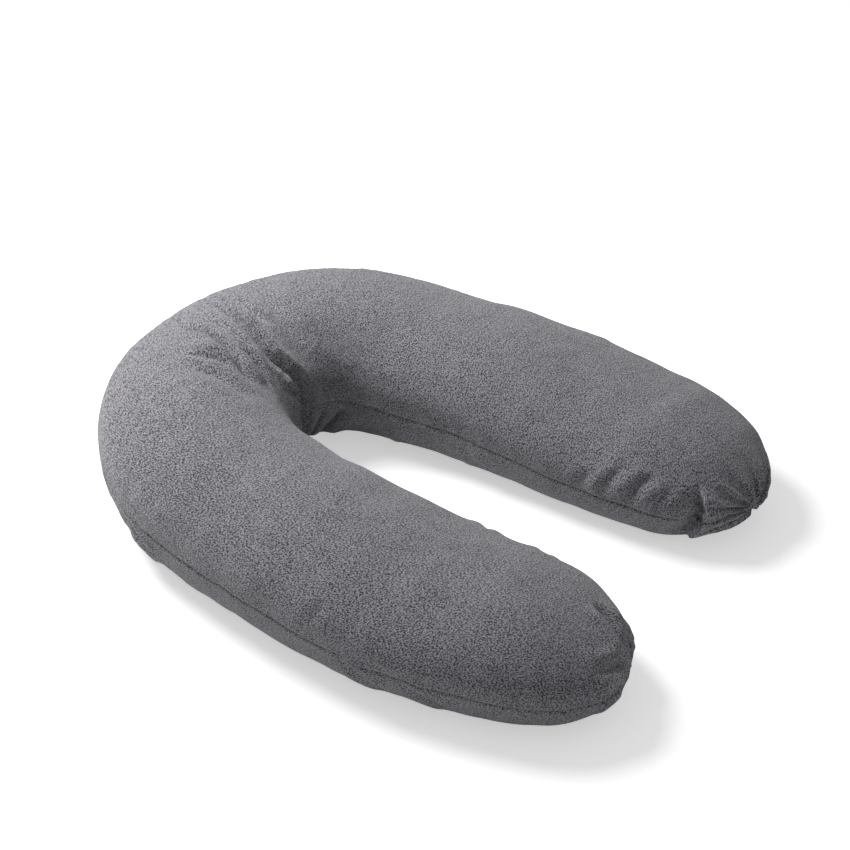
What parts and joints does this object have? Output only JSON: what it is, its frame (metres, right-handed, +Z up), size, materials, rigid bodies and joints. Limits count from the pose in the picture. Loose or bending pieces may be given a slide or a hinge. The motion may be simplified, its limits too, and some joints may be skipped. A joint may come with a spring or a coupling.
{
  "type": "nursing pillow",
  "caption": "U-shaped bead-filled nursing pillow in a removable two-panel jersey cover that zips round the outside of the bend.",
  "frame": {"origin": "middle of the pillow's outline box, on the floor it lies on", "axes": "+Z up; +Y from the open ends of the arms to the bend; +X to the arm on the right seen from above with the bend at the top"},
  "size_m": [0.7608, 0.931, 0.203],
  "materials": {
    "cover_jersey": "heathered grey cotton jersey, matt",
    "cover_thread": "dark grey sewing thread",
    "zip_tape": "woven dark grey tape",
    "zip_coil": "dark grey nylon coil, satin",
    "zip_metal": "grey metal, satin",
    "label": "blank white satin tape",
    "bag_woven": "plain off-white woven cotton",
    "bag_thread": "white sewing thread",
    "bag_zip": "white nylon and polyester zip",
    "beads": "white polystyrene beads"
  },
  "bodies": {
    "pillow": {"cover_top_panel": "cover_jersey", "cover_bottom_panel": "cover_jersey", "cover_seam_thread": "cover_thread", "cover_zip_tape_upper": "zip_tape", "cover_zip_tape_lower": "zip_tape", "cover_zip_coil_upper": "zip_coil", "cover_zip_coil_lower": "zip_coil", "cover_zip_top_stop_upper": "zip_metal", "cover_zip_top_stop_lower": "zip_metal", "cover_zip_bottom_stop": "zip_metal", "cover_zip_stitch_upper": "cover_thread", "cover_zip_stitch_lower": "cover_thread", "care_label": "label", "inner_bag_top": "bag_woven", "inner_bag_bottom": "bag_woven", "inner_bag_seam_thread": "bag_thread", "inner_bag_zip_tape_upper": "bag_zip", "inner_bag_zip_tape_lower": "bag_zip", "inner_bag_zip_coil_upper": "bag_zip", "inner_bag_zip_coil_lower": "bag_zip", "inner_bag_zip_top_stop_upper": "bag_zip", "inner_bag_zip_top_stop_lower": "bag_zip", "inner_bag_zip_bottom_stop": "bag_zip", "bead_fill": "beads"},
    "cover_zip_slider": {"cover_zip_slider": "zip_metal"},
    "cover_zip_pull_tab": {"cover_zip_pull_tab": "zip_metal"},
    "inner_bag_zip_slider": {"inner_bag_zip_slider": "bag_zip"}
  },
  "joints": [
    {"name": "cover_zip_run", "type": "hinge", "parent": "pillow", "child": "cover_zip_slider", "pos_m": [-0.0058, 0.12075, 0], "axis": [0, 0, 1], "range_deg": [0, 83]},
    {"name": "pull_tab_pivot", "type": "hinge", "parent": "cover_zip_slider", "child": "cover_zip_pull_tab", "pos_m": [0.22419, 0.38071, 0.09268], "axis": [0, 0, -1], "range_deg": [0, 150]},
    {"name": "inner_bag_zip_run", "type": "hinge", "parent": "pillow", "child": "inner_bag_zip_slider", "pos_m": [-0.0058, 0.12075, 0], "axis": [0, 0, 1], "range_deg": [0, 53]}
  ]
}
